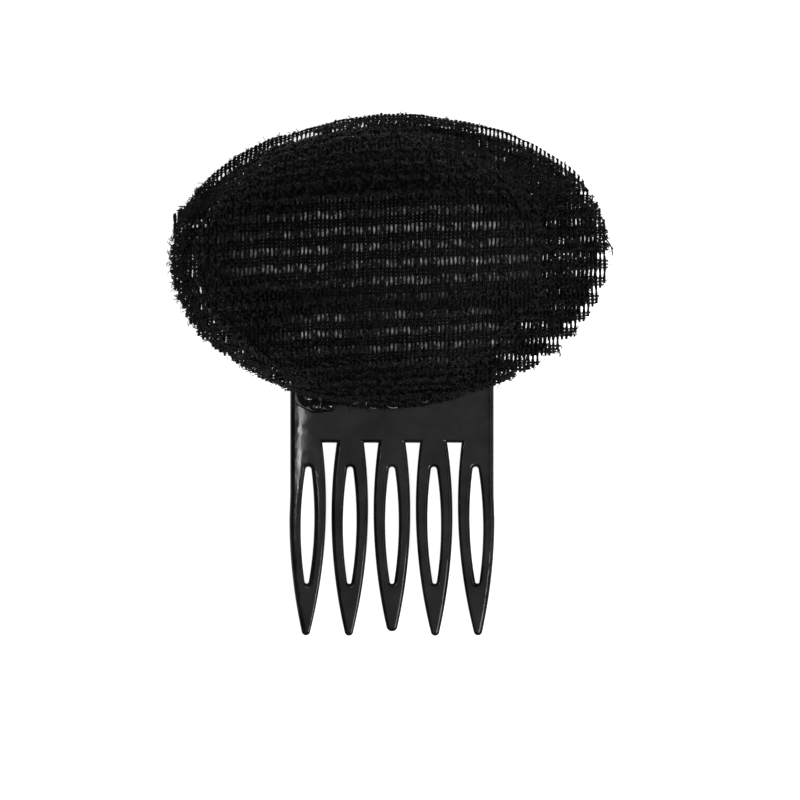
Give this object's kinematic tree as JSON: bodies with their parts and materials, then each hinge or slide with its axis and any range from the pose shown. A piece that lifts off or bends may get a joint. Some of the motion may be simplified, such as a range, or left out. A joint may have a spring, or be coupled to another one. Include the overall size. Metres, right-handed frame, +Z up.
{
  "type": "volumizing hair pad",
  "caption": "Domed oval pad of stiff grip mesh over a foam core, glued to a hair comb with slotted leaf-shaped teeth, pushed under the hair to lift it.",
  "frame": {"origin": "on the surface that the pad lies on, under the middle of its overall width and length", "axes": "+Z up out of the dome, +Y from the comb's tips towards the pad's far edge, +X to the right with the teeth pointing down the page"},
  "size_m": [0.1076, 0.1285, 0.0239],
  "materials": {
    "comb_plastic": "satin black injection-moulded plastic with soft bright edges",
    "grip_mesh": "black knitted nylon mesh with rows of small hooks",
    "foam": "soft grey open-cell sponge, which looks dark behind the mesh",
    "glue": "glossy black melted glue"
  },
  "bodies": {
    "root": {"comb": "comb_plastic", "front_cover": "grip_mesh", "back_cover": "grip_mesh", "foam_core": "foam", "glue_bead": "glue"}
  },
  "joints": []
}
